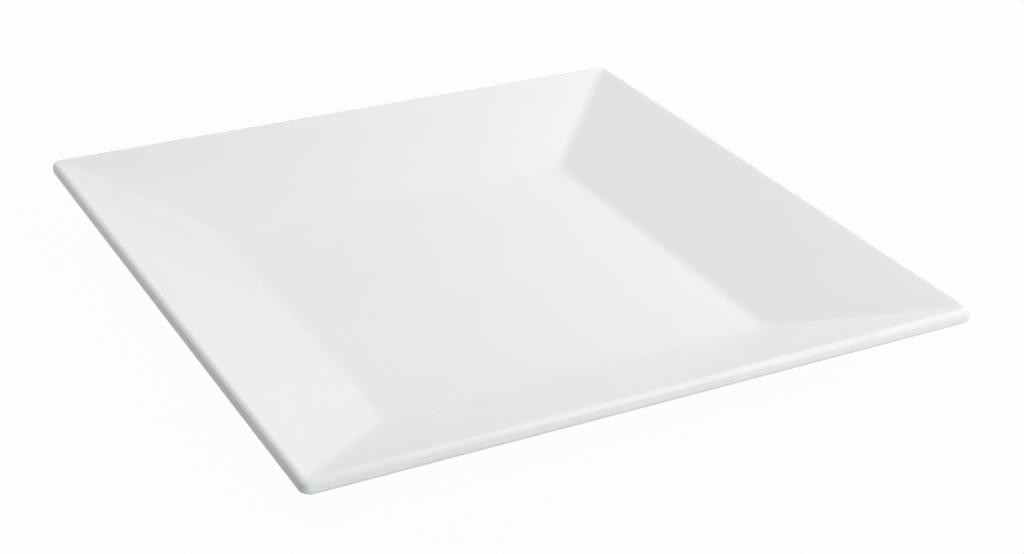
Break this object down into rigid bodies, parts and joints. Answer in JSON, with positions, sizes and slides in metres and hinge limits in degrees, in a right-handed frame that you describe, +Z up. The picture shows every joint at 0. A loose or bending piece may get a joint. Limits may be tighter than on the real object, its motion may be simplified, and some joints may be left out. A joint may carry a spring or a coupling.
{
  "type": "square dinner plate",
  "caption": "Square dinner plate with a flat well, a wide sloping rim with mitred corners and a rounded lip, standing on a low square foot ring.",
  "frame": {"origin": "on the table under the middle of the well, in the plane of the foot ring's bare band", "axes": "+Z up out of the well, X and Y square to the plate's sides"},
  "size_m": [0.26, 0.26, 0.0299],
  "materials": {
    "porcelain_body": "bare fired porcelain, wiped and polished smooth",
    "glaze_coat": "smooth white gloss glaze",
    "base_glaze": "white gloss glaze with small pinholes"
  },
  "bodies": {
    "root": {"porcelain_body": "porcelain_body", "glaze_coat": "glaze_coat", "base_glaze": "base_glaze"}
  },
  "joints": []
}
